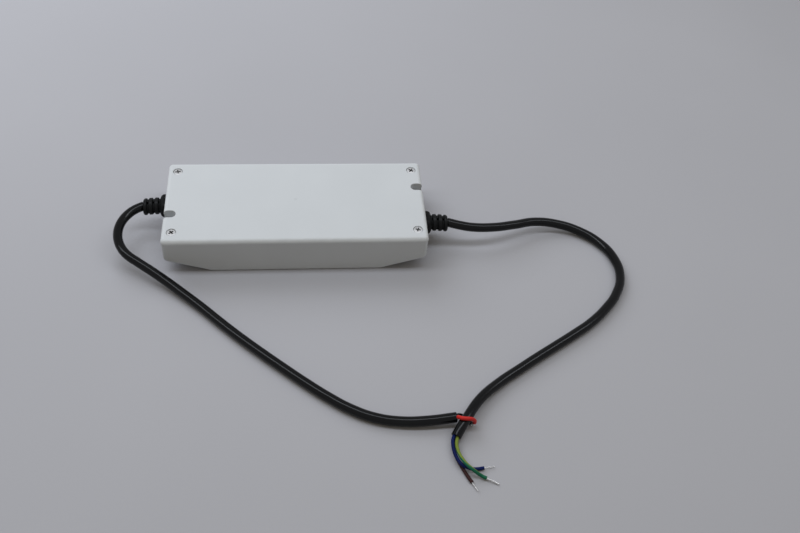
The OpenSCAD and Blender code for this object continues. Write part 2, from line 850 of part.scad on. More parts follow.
module choke_core() {
    color(ferrite) on_board(choke_at) translate([0, 0, choke_wire + fit]) {
        difference() {
            cylinder(d = choke_d, h = choke_h);
            translate([0, 0, -1]) cylinder(d = choke_bore, h = choke_h + 2);
        }
    }
}

module choke_windings() {
    sleeve = choke_wire + fit;
    ring_t = (choke_d - choke_bore) / 2;
    color(copper) on_board(choke_at) for (turn = [0, 180]) {
        rotate(turn + 25) rotate_extrude(angle = 130) difference() {
            translate([choke_bore / 2 - sleeve, 0]) square([ring_t + 2 * sleeve, choke_h + 2 * sleeve]);
            translate([choke_bore / 2 - fit, choke_wire]) square([ring_t + 2 * fit, choke_h + 2 * fit]);
        }
    }
}

module y_capacitors() {
    color([0.15, 0.35, 0.65]) for (at = y_caps_at) on_board(at) disc_part(y_cap_d, y_cap_t);
}

// Power stage

module bridge_rectifier() {
    color(part_black) on_board(bridge_at) {
        translate([0, 0, device_leg]) block([bridge_t, bridge_w, bridge_h]);
        for (k = [-1.5 : 1.5]) {
            translate([0, k * bridge_w / 4, 0]) cylinder(d = thick_leg_d, h = device_leg + 1);
        }
    }
}

module film_capacitor() {
    color([0.7, 0.3, 0.15]) on_board(film_cap_at) block([film_cap_t, film_cap_w, film_cap_h]);
}

module pfc_core() {
    color(ferrite) on_board(pfc_at) wound_core(pfc_len);
}

module pfc_bobbin() {
    color(part_black) on_board(pfc_at) wound_bobbin(pfc_len);
}

module pfc_winding() {
    color(tape_yellow) on_board(pfc_at) wound_winding(pfc_len);
}

module bulk_capacitor() {
    axis_z = bulk_d / 2 + play;
    color(part_black) on_board(bulk_at) {
        translate([-bulk_len / 2, 0, axis_z]) along_x(bulk_d, bulk_len);
        for (side = [-1, 1]) translate([bulk_len / 2 + leg_reach, side * bulk_d / 4, 0]) {
            cylinder(d = thick_leg_d, h = axis_z + leg_d);
            translate([-leg_reach - 1, 0, axis_z]) along_x(leg_d, leg_reach + 1);
        }
    }
}

module primary_heatsink() {
    color(alu) at_primary_sink() heatsink(primary_sink_len);
}

module switch_transistor() {
    color(part_black) at_primary_sink() power_device();
}

module transformer_core() {
    color(ferrite) on_board(transformer_at) wound_core(transformer_len);
}

module transformer_bobbin() {
    color(part_black) on_board(transformer_at) wound_bobbin(transformer_len);
}

module transformer_winding() {
    color(tape_yellow) on_board(transformer_at) wound_winding(transformer_len);
}

module secondary_heatsink() {
    color(alu) at_secondary_sink() heatsink(secondary_sink_len);
}

module output_diode() {
    color(part_black) at_secondary_sink() power_device();
}

module clamp_screws() {
    color(steel) {
        at_primary_sink() clamp_screw();
        at_secondary_sink() clamp_screw();
    }
}

// Output and control

module output_capacitors() {
    color(part_black) for (at = output_caps_at) on_board(at) cylinder(d = output_cap_d, h = output_cap_h);
}

module output_choke() {
    rim = output_choke_d / 2;
    waist = rim - drum_groove;
    low = drum_rim_t + drum_groove;
    side = [
        [0, 0], [rim, 0], [rim, drum_rim_t], [waist, low], [waist, output_choke_h - low],
        [rim, output_choke_h - drum_rim_t], [rim, output_choke_h], [0, output_choke_h]
    ];
    color(ferrite) on_board(output_choke_at) rotate_extrude() polygon(side);
}

module optocoupler() {
    color(part_black) on_board(opto_at) legged_box([opto_len, opto_w, opto_h], 2);
}

module control_chips() {
    color(part_black) for (at = [pfc_chip_at, converter_chip_at]) {
        on_board(at) legged_box([chip_len, chip_w, chip_h], 4);
    }
}

module sense_resistors() {
    color([0.55, 0.65, 0.75]) for (at = resistors_at) on_board(at) axial_part(resistor_d, resistor_len);
}

case_body();
case_cover();
cover_screws();
input_gland();
output_gland();
input_cable();
output_cable();
core_brown();
core_blue();
core_earth();
core_red();
core_black();
input_strands();
output_strands();
circuit_board();
board_screws();
input_leads();
output_leads();
fuse();
varistor();
inrush_thermistor();
x_capacitor();
choke_core();
choke_windings();
y_capacitors();
bridge_rectifier();
film_capacitor();
pfc_core();
pfc_bobbin();
pfc_winding();
bulk_capacitor();
primary_heatsink();
switch_transistor();
transformer_core();
transformer_bobbin();
transformer_winding();
secondary_heatsink();
output_diode();
clamp_screws();
output_capacitors();
output_choke();
optocoupler();
control_chips();
sense_resistors();
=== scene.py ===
# %% [markdown]
# # An LED driver on a pale floor
# The object is a sealed supply in a moulded plastic case, with one black cable at each end. The solids
# come from CAD and never move. This lesson dresses them: it lays the cables as curves, rounds the case's
# edges, models the glands, screws and bare wires, and gives every surface a finish made of nodes. All
# lengths are written in millimetres and turned into metres with one factor.

import json
from math import cos, radians, sin, sqrt, tau

import bmesh
import bpy
from mathutils import Matrix, Vector

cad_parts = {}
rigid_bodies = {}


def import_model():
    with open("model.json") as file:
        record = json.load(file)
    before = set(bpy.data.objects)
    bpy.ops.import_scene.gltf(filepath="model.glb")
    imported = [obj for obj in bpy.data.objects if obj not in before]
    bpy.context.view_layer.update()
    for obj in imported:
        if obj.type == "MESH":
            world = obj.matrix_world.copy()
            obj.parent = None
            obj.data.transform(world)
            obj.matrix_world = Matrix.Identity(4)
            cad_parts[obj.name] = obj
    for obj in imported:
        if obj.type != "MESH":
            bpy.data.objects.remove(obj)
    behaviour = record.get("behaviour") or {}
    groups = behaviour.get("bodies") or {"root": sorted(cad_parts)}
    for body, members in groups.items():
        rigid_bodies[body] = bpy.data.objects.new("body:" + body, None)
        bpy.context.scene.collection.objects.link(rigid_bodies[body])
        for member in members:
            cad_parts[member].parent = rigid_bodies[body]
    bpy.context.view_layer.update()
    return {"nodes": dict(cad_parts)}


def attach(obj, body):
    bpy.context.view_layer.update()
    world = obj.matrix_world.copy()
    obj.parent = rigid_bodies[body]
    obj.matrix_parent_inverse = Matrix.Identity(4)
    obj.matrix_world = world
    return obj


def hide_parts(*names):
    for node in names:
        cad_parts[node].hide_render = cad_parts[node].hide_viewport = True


for leftover in list(bpy.data.objects):
    bpy.data.objects.remove(leftover)
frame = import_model()
mm = 0.001

# %% [markdown]
# ## The camera
# The photograph looks down at about 47 degrees, a little from the left, and leans 5 degrees. A camera in
# Blender looks along its own -Z axis, so three turns set it: lean about its line of sight, tilt from
# straight down, then swing round the object. The lens follows from the photograph's perspective.

# %% Camera
camera_data = bpy.data.cameras.new("camera")
camera_data.sensor_width = 36
camera_data.lens = 43.89
camera = bpy.data.objects.new("camera", camera_data)
bpy.context.scene.collection.objects.link(camera)
lean = Matrix.Rotation(radians(5.07), 4, "Z")
tilt = Matrix.Rotation(radians(90 - 47.17), 4, "X")
swing = Matrix.Rotation(radians(-8.08), 4, "Z")
camera.matrix_world = Matrix.Translation((0.00673, -0.51094, 0.5145)) @ swing @ tilt @ lean
bpy.context.scene.camera = camera
print("camera at", [round(x, 3) for x in camera.matrix_world.translation])

# %% [markdown]
# ## Finishes
# Real plastic is never one flat colour: it has a fine grain, slow changes of tone and a gloss that
# varies. One recipe gives all of that from two noise patterns, a broad one for the tone and a fine one
# for grain and gloss. Each finish below is this recipe with its own numbers. Values that don't vary stay
# on the shader.

# %% A recipe for grained finishes
def wire(material, start, start_socket, end, end_socket):
    material.node_tree.links.new(start.outputs[start_socket], end.inputs[end_socket])


def add_node(material, kind, **values):
    node = material.node_tree.nodes.new("ShaderNode" + kind)
    for socket, value in values.items():
        node.inputs[socket.replace("_", " ")].default_value = value
    return node


def tone_ramp(material, tones):
    ramp = add_node(material, "ValToRGB")
    stops = ramp.color_ramp.elements
    for stop, place, tone in zip(stops, (0.3, 0.7), tones):
        stop.position = place
        stop.color = (*tone, 1)
    return ramp


def grained(name, tones, gloss, grain, depth, broad=60, stretch=(1, 1, 1), metallic=0.0,
            specular=0.5):
    """tones: two linear colours; gloss: roughness range; grain: cells per metre; depth: relief in mm."""
    material = bpy.data.materials.new(name)
    material.use_nodes = True
    shader = material.node_tree.nodes["Principled BSDF"]
    shader.inputs["Metallic"].default_value = metallic
    shader.inputs["Specular IOR Level"].default_value = specular
    place = add_node(material, "TexCoord")
    mapping = add_node(material, "Mapping", Scale=stretch)
    slow = add_node(material, "TexNoise", Scale=broad, Detail=3)
    fine = add_node(material, "TexNoise", Scale=grain, Detail=4)
    ramp = tone_ramp(material, tones)
    spread = add_node(material, "MapRange", From_Min=0.3, From_Max=0.7, To_Min=gloss[0], To_Max=gloss[1])
    bump = add_node(material, "Bump", Strength=0.6, Distance=depth * mm)
    wire(material, place, "Object", mapping, "Vector")
    for noise in (slow, fine):
        wire(material, mapping, "Vector", noise, "Vector")
    wire(material, slow, "Fac", ramp, "Fac")
    wire(material, ramp, "Color", shader, "Base Color")
    wire(material, fine, "Fac", spread, "Value")
    wire(material, spread, "Result", shader, "Roughness")
    wire(material, fine, "Fac", bump, "Height")
    wire(material, bump, "Normal", shader, "Normal")
    return material


def blend_over(material, mask, socket, tone, gloss):
    """Lays a second tone and gloss over a finish where a mask is 1."""
    shader = material.node_tree.nodes["Principled BSDF"]
    for name, kind, (under, over, out), value in (
            ("Base Color", "RGBA", (6, 7, 2), (*tone, 1)), ("Roughness", "FLOAT", (2, 3, 0), gloss)):
        below = shader.inputs[name].links[0].from_socket
        mix = add_node(material, "Mix")
        mix.data_type = kind
        mix.inputs[over].default_value = value
        material.node_tree.links.new(below, mix.inputs[under])
        wire(material, mask, socket, mix, 0)
        wire(material, mix, out, shader, name)


sheath_finish = grained("sheath_soft_plastic", ((0.0018, 0.0020, 0.0022), (0.0032, 0.0035, 0.0038)),
                        (0.13, 0.20), 700, 0.004, specular=0.25)
brown_finish = grained("brown_insulation", ((0.026, 0.009, 0.010), (0.042, 0.015, 0.014)),
                       (0.42, 0.56), 1500, 0.02, specular=0.16)
blue_finish = grained("blue_insulation", ((0.0022, 0.0075, 0.060), (0.0040, 0.0120, 0.090)),
                      (0.42, 0.56), 1500, 0.02, specular=0.12)
red_finish = grained("red_insulation", ((0.48, 0.016, 0.014), (0.60, 0.028, 0.022)),
                     (0.4, 0.52), 1500, 0.02, specular=0.25)
tinned_finish = grained("tinned_wire", ((0.70, 0.69, 0.67), (0.90, 0.89, 0.87)),
                        (0.30, 0.48), 2500, 0.01, broad=900, metallic=1.0)
print("finishes so far:", len(bpy.data.materials))

# %% [markdown]
# ## The cables
# A cable is flexible, so it comes first: its route has to be right before anything else is. The simplest
# way to make one is a curve with a round bevel. The points below are the same as the CAD route's.
# Automatic handles make a smooth line through them, which leaves the gland straight, droops to the floor
# and lies there.

# %% Cable routes
boot_end, gland_z = 109.2, 17.8  # where each cable leaves its gland
input_y, output_y = -12, 8
lying = 3.4  # height of a cable's middle where it lies on the floor
input_route = [
    (boot_end, input_y, gland_z),
    (118, -14.8, 17.4), (127, -16.2, 16.6), (143.5, -14.4, 14.4), (160, -9.4, 11.7),
    (177, -3.7, 8.9), (194, -3.6, 6.3), (210, -9.2, 4.4), (223.5, -21, 3.6), (231.3, -37.3, lying),
    (231.8, -55, lying), (225, -71.5, lying), (214.3, -85, lying), (201.5, -97, lying), (187.4, -107, lying),
    (173, -116.5, lying), (159.2, -125.5, lying), (145.2, -135, lying), (130.8, -145.2, 3.9),
    (115.8, -158.8, 5.2),
    (105.2, -173.5, 6.1), (101, -179.5, 5.2), (97.4, -184.9, 3.5),
]
bend_x, bend_y, bend_r = -99, -16, 26
bend_steps, bend_drop = 8, 6
output_bend = []
for k in range(1, bend_steps + 1):
    angle = radians(114 + 14 * k)
    output_bend.append((bend_x + bend_r * cos(angle), bend_y + bend_r * sin(angle),
                        gland_z - bend_drop * (k / bend_steps) ** 1.6))
output_route = [
    (-boot_end, output_y, gland_z), *output_bend,
    (-108.5, -41, 10), (-99.5, -47, 7.9), (-87, -56.5, 5.6), (-76, -66, 4.4),
    (-64, -77, 3.6), (-51, -90.2, lying), (-37.5, -103.5, lying), (-24, -116, lying), (-10, -128.5, lying),
    (5, -141.5, lying), (19, -152.8, lying), (33, -162.5, lying), (48, -169.6, lying), (64, -173, 3.5),
    (81, -173.6, 4.3), (98.5, -172.3, 5.2),
]


def add_piece(name, data, slot, *nodes):
    piece = bpy.data.objects.new(name, data)
    bpy.context.scene.collection.objects.link(piece)
    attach(piece, "root")
    if nodes:
        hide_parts(*nodes)
    return piece


def flexible(name, route, diameter, finish, slot, node, ring=7):
    curve = bpy.data.curves.new(name, "CURVE")
    curve.dimensions = "3D"
    curve.bevel_depth = diameter / 2 * mm
    curve.bevel_resolution = ring
    curve.resolution_u = 10
    curve.use_fill_caps = True
    spline = curve.splines.new("BEZIER")
    spline.bezier_points.add(len(route) - 1)
    for point, place in zip(spline.bezier_points, route):
        point.co = Vector(place) * mm
        point.handle_left_type = point.handle_right_type = "AUTO"
    curve.materials.append(finish)
    piece = add_piece(name, curve, slot, node)
    print(name, "is", round(spline.calc_length(), 4), "m long")
    return piece


cable_d = 6.6
input_cable = flexible("input_cable_sheath", input_route, cable_d, sheath_finish,
                       "cable_sheath", "input_cable")
output_cable = flexible("output_cable_sheath", output_route, cable_d, sheath_finish,
                        "cable_sheath", "output_cable")

# %% [markdown]
# ## The cut ends of the sheaths
# Where a sheath is cut back, its thick wall shows as a ring around the cores. A ring is a turned shape:
# its half section, a few points, is spun once about an axis. It is made upright at the origin, and a turn
# and a shift then put it on the end of its cable.

# %% Sheath ends
def heading(route):
    return (Vector(route[-1]) - Vector(route[-2])).normalized()


def turned(section, steps):
    """Spins a half section of (radius, height) points, in mm, once about the Z axis."""
    shape = bmesh.new()
    points = [shape.verts.new((radius * mm, 0, height * mm)) for radius, height in section]
    edges = [shape.edges.new(pair) for pair in zip(points, points[1:])]
    bmesh.ops.spin(shape, geom=points + edges, cent=(0, 0, 0), axis=(0, 0, 1), angle=tau, steps=steps,
                   use_merge=True)
    bmesh.ops.remove_doubles(shape, verts=shape.verts, dist=0.001 * mm)
    bmesh.ops.recalc_face_normals(shape, faces=shape.faces)
    return shape


def put(shape, place, direction):
    """Turns a shape's Z axis along a direction and moves it to a place in mm."""
    turn = Vector((0, 0, 1)).rotation_difference(direction).to_matrix().to_4x4()
    bmesh.ops.transform(shape, matrix=Matrix.Translation(Vector(place) * mm) @ turn, verts=shape.verts)
    return shape


def to_mesh(shape, name, finish, sharp=35):
    mesh = bpy.data.meshes.new(name)
    shape.to_mesh(mesh)
    shape.free()
    mesh.shade_smooth()
    mesh.set_sharp_from_angle(angle=radians(sharp))
    mesh.materials.append(finish)
    return mesh


def sheath_end(name, route):
    rim = cable_d / 2
    section = [(rim - 0.8, -0.6), (rim - 0.8, 0.25), (rim - 0.65, 0.4), (rim - 0.2, 0.4), (rim + 0.02, 0.2),
               (rim + 0.02, -1.2), (rim - 0.3, -1.2), (rim - 0.8, -0.6)]
    shape = put(turned(section, 40), route[-1], heading(route))
    return add_piece(name, to_mesh(shape, name, sheath_finish), "cable_sheath")


input_sheath_end = sheath_end("input_sheath_end", input_route)
output_sheath_end = sheath_end("output_sheath_end", output_route)

# %% [markdown]
# ## The cores
# Five insulated cores come out of the two sheaths. Each starts in the end face of its sheath, at a place
# across and above the middle, and then follows its own points. The earth core carries a yellow and a
# green stripe that wind slowly round it, so its finish reads the curve's own UV map: one axis runs along
# the core and the other round it.

# %% Earth stripes
def striped(name, first, second, turns, start):
    """turns: twist from end to end; start: share of a turn by which the pattern is set round the core."""
    material = grained(name, (first, first), (0.42, 0.56), 1500, 0.02, specular=0.2)
    shader = material.node_tree.nodes["Principled BSDF"]
    uv = add_node(material, "UVMap")
    uv.uv_map = "UVMap"
    split = add_node(material, "SeparateXYZ")
    wind = add_node(material, "Math")
    wind.operation = "MULTIPLY_ADD"
    wind.inputs[1].default_value = turns
    shift = add_node(material, "Math")
    shift.inputs[1].default_value = start
    phase = add_node(material, "Math")
    phase.operation = "FRACT"
    ramp = add_node(material, "ValToRGB")
    ramp.color_ramp.interpolation = "CONSTANT"
    ramp.color_ramp.elements[0].color = (*first, 1)
    ramp.color_ramp.elements[1].position = 0.5
    ramp.color_ramp.elements[1].color = (*second, 1)
    wire(material, uv, "UV", split, "Vector")
    wire(material, split, "X", wind, 0)
    wire(material, split, "Y", wind, 2)
    wire(material, wind, "Value", shift, 0)
    wire(material, shift, "Value", phase, "Value")
    wire(material, phase, "Value", ramp, "Fac")
    wire(material, ramp, "Color", shader, "Base Color")
    return material


earth_green, earth_yellow = (0.007, 0.118, 0.060), (0.180, 0.235, 0.036)
earth_finish = striped("earth_insulation", earth_green, earth_yellow, 0.5, 0.5)
print("nodes in the earth core's finish:", len(earth_finish.node_tree.nodes))

# %% Core routes
def in_face(route, side, up):
    """A place on the cut end of a sheath, in mm, and one 2 mm inside it."""
    along = heading(route)
    across = along.cross(Vector((0, 0, 1))).normalized()
    place = Vector(route[-1]) + side * across + up * across.cross(along)
    return [place - 2 * along, place]


brown_route = in_face(input_route, 0.2, -1.3) + [
    (95.9, -188, 1.6), (95.3, -192, 1.2), (95.6, -196, 1.2), (96.6, -200, 1.2), (97.9, -203.7, 1.2),
    (99.3, -207, 1.2), (101.1, -211.3, 1.2), (103.6, -216.2, 1.2),
]
blue_route = in_face(input_route, 1.05, 0.85) + [
    (94.9, -187.7, 4.2), (94.5, -191.4, 4), (94.7, -195.7, 3.9), (95.5, -199.4, 3.8), (96.9, -202.8, 3.7),
    (98.7, -205.3, 3.6), (101.4, -207, 3.2), (104.5, -207.7, 2.4), (108.1, -207.4, 1.6), (112, -206.8, 1.4),
]
earth_route = in_face(input_route, -1.2, 0.45) + [
    (96.9, -190.6, 4), (97, -194.8, 4.2), (97.8, -199, 4.7), (99.2, -203, 5.4), (101.2, -206.7, 5.9),
    (103.9, -209.5, 5.6), (107, -211.4, 3.9), (109.7, -212.4, 2), (112.7, -214, 1.6),
]
red_route = in_face(output_route, 0.7, 1.25) + [
    (99.8, -174.5, 8.5), (101, -176, 9.9), (102.7, -176.8, 10.5), (105, -177, 10.4), (107.4, -176.7, 9.4),
    (109.2, -176.3, 7.4), (109.9, -176, 5.5), (109.9, -175.7, 3.8),
]
black_route = in_face(output_route, -1.3, -0.7) + [
    (100.3, -169.4, 3.3), (103, -168.9, 1.8), (105.7, -170.5, 1.3), (107.5, -172.6, 1.3),
    (108.3, -175.3, 1.3),
]
core_d, output_core_d = 2.2, 2.5
brown_core = flexible("brown_core", brown_route, core_d, brown_finish, "core_brown", "core_brown", 5)
blue_core = flexible("blue_core", blue_route, core_d, blue_finish, "core_blue", "core_blue", 5)
earth_core = flexible("earth_core", earth_route, core_d, earth_finish, "core_earth", "core_earth", 5)
red_core = flexible("red_core", red_route, output_core_d, red_finish, "core_red", "core_red", 5)
black_core = flexible("black_core", black_route, output_core_d, sheath_finish, "core_black", "core_black", 5)

# %% [markdown]
# ## The bare wire ends
# A stripped core shows a bundle of fine wires twisted together. Spinning a small circle about the
# bundle's axis while it also climbs makes one wire of the twist. Turning the circle's start round the
# axis makes the others, and the same bundle is then put on the end of each core.

# %% Twisted strands
def twisted_bundle(length, wire_d, wires=7, turns=1.3):
    bundle = bmesh.new()
    steps, hidden = 14, 1
    for k in range(wires):
        off = 0 if k == 0 else wire_d * 1.02
        start = Matrix.Rotation(tau * k / (wires - 1), 4, "Z") @ Matrix.Translation((off * mm, 0, 0))
        circle = bmesh.ops.create_circle(bundle, cap_ends=True, radius=wire_d / 2 * mm, segments=7,
                                         matrix=start)
        faces = list({face for vert in circle["verts"] for face in vert.link_faces})
        reach = length - 0.35 * (k * 5 % wires) / wires
        bmesh.ops.spin(bundle, geom=faces, cent=(0, 0, 0), axis=(0, 0, 1), angle=tau * turns, steps=steps,
                       dvec=(0, 0, (reach + hidden) * mm / steps))
    bmesh.ops.recalc_face_normals(bundle, faces=bundle.faces)
    bmesh.ops.translate(bundle, vec=(0, 0, -hidden * mm), verts=bundle.verts)
    return bundle


def joined(shapes):
    whole = bmesh.new()
    for shape in shapes:
        part = bpy.data.meshes.new("part")
        shape.to_mesh(part)
        shape.free()
        whole.from_mesh(part)
        bpy.data.meshes.remove(part)
    return whole


def bare_ends(name, ends, node):
    """ends: a core's route, its bare length and the thickness of one wire, in mm."""
    bundles = [put(twisted_bundle(bare, wire_d), route[-1], heading(route)) for route, bare, wire_d in ends]
    return add_piece(name, to_mesh(joined(bundles), name, tinned_finish), "tinned_copper", node)


input_ends = [(brown_route, 6.6, 0.24), (blue_route, 7, 0.22), (earth_route, 8, 0.38)]
output_ends = [(red_route, 1.2, 0.36), (black_route, 1, 0.5)]
input_strands = bare_ends("input_bare_ends", input_ends, "input_strands")
output_strands = bare_ends("output_bare_ends", output_ends, "output_strands")
print("strand faces:", len(input_strands.data.polygons), len(output_strands.data.polygons))


# %% [markdown]
# ## The case body
# The CAD body already has the right walls, posts and slots, but its edges are razor sharp, and no
# moulding has such edges. A copy of its mesh is merged, because CAD meshes arrive as loose triangles, its
# flat areas are dissolved into single faces, and then a bevel rounds the lower edge all round.

# %% Copy and round the body
def merged_copy(node):
    shape = bmesh.new()
    shape.from_mesh(frame["nodes"][node].data)
    bmesh.ops.remove_doubles(shape, verts=shape.verts, dist=0.002 * mm)
    bmesh.ops.dissolve_limit(shape, angle_limit=radians(0.3), verts=shape.verts, edges=shape.edges)
    return shape


def rounded(shape, edges, radius, segments):
    bmesh.ops.bevel(shape, geom=edges, offset=radius * mm, offset_type="OFFSET", segments=segments,
                    profile=0.5, affect="EDGES", clamp_overlap=True, material=-1)
    return len(edges)


tray_size, lid_size, corner_r = (184.4, 80.4), (185, 81), 3
flat_half, end_rise, end_run = 59.5, 11, 32.7  # the underside is flat, then rises to each end


def off_outline(point, size):
    """Distance in mm from a rounded rectangle's outline, seen from above."""
    over_x = abs(point.x) / mm - (size[0] / 2 - corner_r)
    over_y = abs(point.y) / mm - (size[1] / 2 - corner_r)
    return abs(sqrt(max(over_x, 0) ** 2 + max(over_y, 0) ** 2) + min(max(over_x, over_y), 0) - corner_r)


def underside(point):
    return max(0, (abs(point.x) / mm - flat_half) * end_rise / end_run)


def is_sharp(edge, angle):
    return len(edge.link_faces) == 2 and edge.calc_face_angle(0) > radians(angle)


body = merged_copy("case_body")
low_edges = [
    edge for edge in body.edges
    if is_sharp(edge, 20) and all(
        off_outline(vert.co, tray_size) < 0.03 and abs(vert.co.z / mm - underside(vert.co)) < 0.03
        for vert in edge.verts)
]
print("lower edges rounded:", rounded(body, low_edges, 1.3, 4))

# %% [markdown]
# ## The case's finish
# The plastic is a pale, cool grey with a fine spark texture from its mould. A small round mark near the
# middle of the cover is left where the plastic was fed in. It is drawn by distance from one point, which
# needs no image: the tone darkens a little within about a millimetre. A second mask, from the distance to
# the outline and from the height, makes the rim of the cover paler and smoother in patches: the smoother
# gloss is wear from hands, and the paler tone is a painted highlight along the rounded edge.

# %% Case plastic with its gate mark and rim
def mark_of_the_gate(material):
    centre = add_node(material, "Mapping", Location=(0.2 * mm, -0.9 * mm, -30 * mm))
    far = add_node(material, "VectorMath")
    far.operation = "LENGTH"
    mark = add_node(material, "MapRange", From_Min=0.5 * mm, From_Max=1.7 * mm, To_Min=0.14, To_Max=0.0)
    wire(material, material.node_tree.nodes["Texture Coordinate"], "Object", centre, "Vector")
    wire(material, centre, "Vector", far, "Vector")
    wire(material, far, "Value", mark, "Value")
    blend_over(material, mark, "Result", (0.26, 0.28, 0.29), 0.5)


def combine(material, operation, first, first_socket, second, second_socket):
    node = add_node(material, "Math")
    node.operation = operation
    wire(material, first, first_socket, node, 0)
    wire(material, second, second_socket, node, 1)
    return node


# Paints a highlight along the cover's rounded rim as a paler tone; the smoother gloss there is wear.
def rim_highlight_and_wear(material):
    nodes = material.node_tree.nodes
    split = add_node(material, "SeparateXYZ")
    wire(material, nodes["Texture Coordinate"], "Object", split, "Vector")
    near = []
    for axis, edge in (("X", lid_size[0] / 2), ("Y", lid_size[1] / 2)):
        away = add_node(material, "Math")
        away.operation = "ABSOLUTE"
        reach = add_node(material, "MapRange", From_Min=(edge - 3) * mm, From_Max=(edge - 0.5) * mm)
        wire(material, split, axis, away, 0)
        wire(material, away, "Value", reach, "Value")
        near.append(reach)
    high = add_node(material, "MapRange", From_Min=26.5 * mm, From_Max=28.5 * mm)
    wire(material, split, "Z", high, "Value")
    patches = add_node(material, "TexNoise", Scale=140, Detail=2)
    wire(material, nodes["Mapping"], "Vector", patches, "Vector")
    rim = combine(material, "MAXIMUM", near[0], "Result", near[1], "Result")
    rim = combine(material, "MINIMUM", rim, "Value", high, "Result")
    rim = combine(material, "MULTIPLY", rim, "Value", patches, "Fac")
    # painted highlight: the paler rim tone stands in for light along the edge; the lower roughness is wear
    blend_over(material, rim, "Value", (0.72, 0.745, 0.765), 0.3)


case_finish = grained("case_moulded_plastic", ((0.575, 0.600, 0.625), (0.595, 0.620, 0.645)),
                      (0.40, 0.52), 2600, 0.012, broad=25)
mark_of_the_gate(case_finish)
rim_highlight_and_wear(case_finish)
print("nodes in the case's finish:", len(case_finish.node_tree.nodes))

# %% The tray
def evened(piece):
    """Lets the large flat faces set the shading at their rims, so no streaks run across them."""
    even = piece.modifiers.new("even_shading", "WEIGHTED_NORMAL")
    even.weight = 100
    even.keep_sharp = True
    return piece


tray = evened(add_piece("case_tray", to_mesh(body, "case_tray", case_finish), "case_plastic", "case_body"))
print("tray faces:", len(tray.data.polygons))

# %% [markdown]
# ## The cover
# The cover is rounded along its top edge already. What it lacks are the small radii round its slots and
# screw holes and along its lower edge, which catch the light and make it read as moulded.

# %% Copy and round the cover
seam_z = 26  # the cover's lower face
cover = merged_copy("case_cover")
hole_edges = [
    edge for edge in cover.edges
    if is_sharp(edge, 55) and edge.is_convex and min(vert.co.z for vert in edge.verts) > 26.05 * mm
    and all(off_outline(vert.co, lid_size) > 0.5 or vert.co.z > 27.5 * mm for vert in edge.verts)
]
print("hole and slot edges rounded:", rounded(cover, hole_edges, 0.3, 3))
rim_edges = [
    edge for edge in cover.edges
    if is_sharp(edge, 55) and all(
        abs(vert.co.z - seam_z * mm) < 0.02 * mm and off_outline(vert.co, lid_size) < 0.03
        for vert in edge.verts)
]
print("rim edges rounded:", rounded(cover, rim_edges, 0.35, 3))
lid = evened(add_piece("case_lid", to_mesh(cover, "case_lid", case_finish), "case_plastic", "case_cover"))
print("lid faces:", len(lid.data.polygons))

# %% [markdown]
# ## The cover screws
# Each screw has a low round head with a cross recess. The outside is a spun half section that stops short
# of the middle. The cross is a small grid with its corners taken away. Bridging the two open loops makes
# the flat top, and pushing the cross down with a little taper makes the recess. The recess faces get a
# second metal, smoother where a screwdriver has rubbed it and much darker as painted shade inside the cross.

# %% Screws
screw_finish = grained("plated_steel", ((0.72, 0.72, 0.71), (0.82, 0.82, 0.81)), (0.56, 0.68), 1800, 0.01,
                       broad=300, metallic=1.0)
# painted shade: the recess metal is far darker than the head, standing in for the shade inside the cross;
# its low roughness gives the glint
recess_shade_finish = grained("recess_shaded_steel", ((0.22, 0.22, 0.215), (0.34, 0.34, 0.33)), (0.20, 0.34), 1800, 0.01,
                        broad=600, metallic=1.0)


screw_x, screw_y, seat_z = 85.4, 31.1, 28
head_top, arm_reach, arm_half, recess_depth = 1.9, 1.95, 0.55, 1.3


def cross_screw():
    section = [(2.3, head_top), (2.7, 1.82), (3.05, 1.62), (3.25, 1.35), (3.32, 1), (3.32, 0.15), (3.1, 0),
               (1.5, 0), (1.5, -11.2), (0.9, -12), (0, -12)]
    shape = turned(section, 48)
    rim = [edge for edge in shape.edges if edge.is_boundary]
    grid = bmesh.ops.create_grid(shape, x_segments=3, y_segments=3, size=arm_reach * mm,
                                 matrix=Matrix.Translation((0, 0, head_top * mm)))["verts"]
    for vert in grid:
        for axis in (0, 1):
            if abs(vert.co[axis]) < 1 * mm:
                vert.co[axis] = arm_half * mm if vert.co[axis] > 0 else -arm_half * mm
    cells = list({face for vert in grid for face in vert.link_faces})
    corners = [face for face in cells
               if min(abs(face.calc_center_median().x), abs(face.calc_center_median().y)) > 0.6 * mm]
    bmesh.ops.delete(shape, geom=corners, context="FACES")
    cross = [face for face in cells if face.is_valid and face not in corners]
    outline = [edge for face in cross for edge in face.edges if edge.is_boundary]
    bmesh.ops.bridge_loops(shape, edges=rim + outline)
    floor = bmesh.ops.extrude_face_region(shape, geom=cross)["geom"]
    stale = [face for face in cross if face.is_valid]
    if stale:
        bmesh.ops.delete(shape, geom=stale, context="FACES_ONLY")
    sunk = [item for item in floor if isinstance(item, bmesh.types.BMVert)]
    bmesh.ops.scale(shape, vec=(0.6, 0.6, 1), verts=sunk)
    bmesh.ops.translate(shape, vec=(0, 0, -recess_depth * mm), verts=sunk)
    # the recess faces take the darker metal, which paints shade into the cross
    for vert in sunk:
        for face in vert.link_faces:
            face.material_index = 1
    bmesh.ops.recalc_face_normals(shape, faces=shape.faces)
    return shape


placed = []
for side, end, turn in ((-1, 1, 12), (1, 1, 55), (-1, -1, 38), (1, -1, 70)):
    screw = cross_screw()
    spot = Matrix.Translation((side * screw_x * mm, end * screw_y * mm, seat_z * mm))
    place = spot @ Matrix.Rotation(radians(turn), 4, "Z")
    bmesh.ops.transform(screw, matrix=place, verts=screw.verts)
    placed.append(screw)
screw_mesh = to_mesh(joined(placed), "lid_screws", screw_finish)
screw_mesh.materials.append(recess_shade_finish)
cover_screws = add_piece("lid_screws", screw_mesh, "screw_steel", "cover_screws")
print("screw faces:", len(cover_screws.data.polygons))

